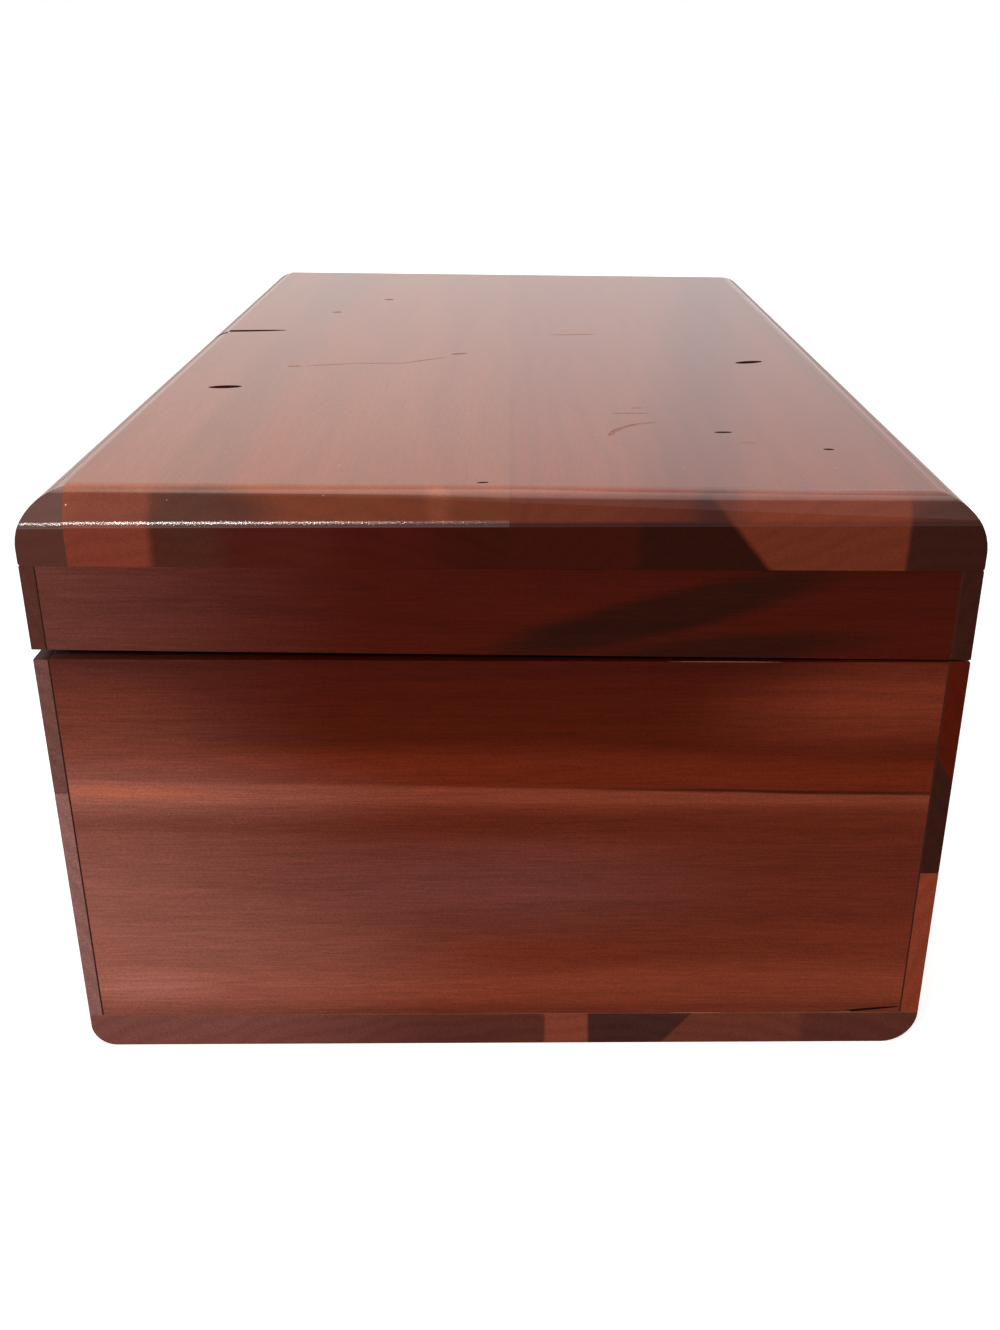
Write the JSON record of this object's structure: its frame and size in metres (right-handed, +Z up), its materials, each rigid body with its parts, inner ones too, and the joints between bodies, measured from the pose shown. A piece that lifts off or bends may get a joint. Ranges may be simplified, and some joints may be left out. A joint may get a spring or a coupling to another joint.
{
  "type": "miniature hope chest",
  "caption": "Small red cedar box with rabbeted corners, a roll-edged hinged lid on a rim, brass stop hinges and a small box lock with a keyhole plate.",
  "frame": {"origin": "centre of the flat underside of the bottom board, under the middle of the box", "axes": "+X along the length towards the right end, -Y towards the keyhole at the front, +Y towards the hinges at the back, +Z up through the lid"},
  "size_m": [0.229, 0.1322, 0.0833],
  "materials": {
    "cedar_wall": "lacquered red cedar, satin",
    "cedar_rim": "lacquered dark red cedar, satin",
    "cedar_top": "lacquered red cedar with a soft white sheen",
    "cedar_bottom": "lacquered red cedar, satin",
    "brass": "satin brass, slightly dulled",
    "spring_steel": "plain spring steel"
  },
  "bodies": {
    "chest": {"bottom_board": "cedar_bottom", "front_wall_lower_board": "cedar_wall", "front_wall_upper_board": "cedar_wall", "back_wall_lower_board": "cedar_wall", "back_wall_upper_board": "cedar_wall", "right_end_wall": "cedar_wall", "left_end_wall": "cedar_wall", "right_hinge_box_leaf": "brass", "left_hinge_box_leaf": "brass", "right_hinge_pin": "brass", "left_hinge_pin": "brass", "right_hinge_box_screw_1": "brass", "right_hinge_box_screw_2": "brass", "left_hinge_box_screw_1": "brass", "left_hinge_box_screw_2": "brass", "lock_case": "brass", "lock_cap": "brass", "lock_spring": "spring_steel", "lock_key_post": "spring_steel", "lock_side_screw_1": "brass", "lock_side_screw_2": "brass", "lock_top_screw_1": "brass", "lock_top_screw_2": "brass", "keyhole_plate": "brass", "keyhole_plate_pin_1": "brass", "keyhole_plate_pin_2": "brass"},
    "lid": {"lid_front_rail": "cedar_rim", "lid_back_rail": "cedar_rim", "lid_right_rail": "cedar_rim", "lid_left_rail": "cedar_rim", "lid_top_front_strip": "cedar_top", "lid_top_middle_board": "cedar_top", "lid_top_back_board": "cedar_top", "right_hinge_lid_leaf": "brass", "left_hinge_lid_leaf": "brass", "right_hinge_lid_screw_1": "brass", "right_hinge_lid_screw_2": "brass", "left_hinge_lid_screw_1": "brass", "left_hinge_lid_screw_2": "brass", "lid_strike_plate": "brass", "strike_screw_1": "brass", "strike_screw_2": "brass"},
    "bolt": {"lock_bolt": "brass"}
  },
  "joints": [
    {"name": "lid_hinge", "type": "hinge", "parent": "chest", "child": "lid", "pos_m": [0, 0.0641, 0.06135], "axis": [-1, 0, 0], "range_deg": [0, 100]},
    {"name": "lock_bolt_slide", "type": "slide", "parent": "chest", "child": "bolt", "axis": [1, 0, 0], "range_m": [0, 0.003]}
  ]
}
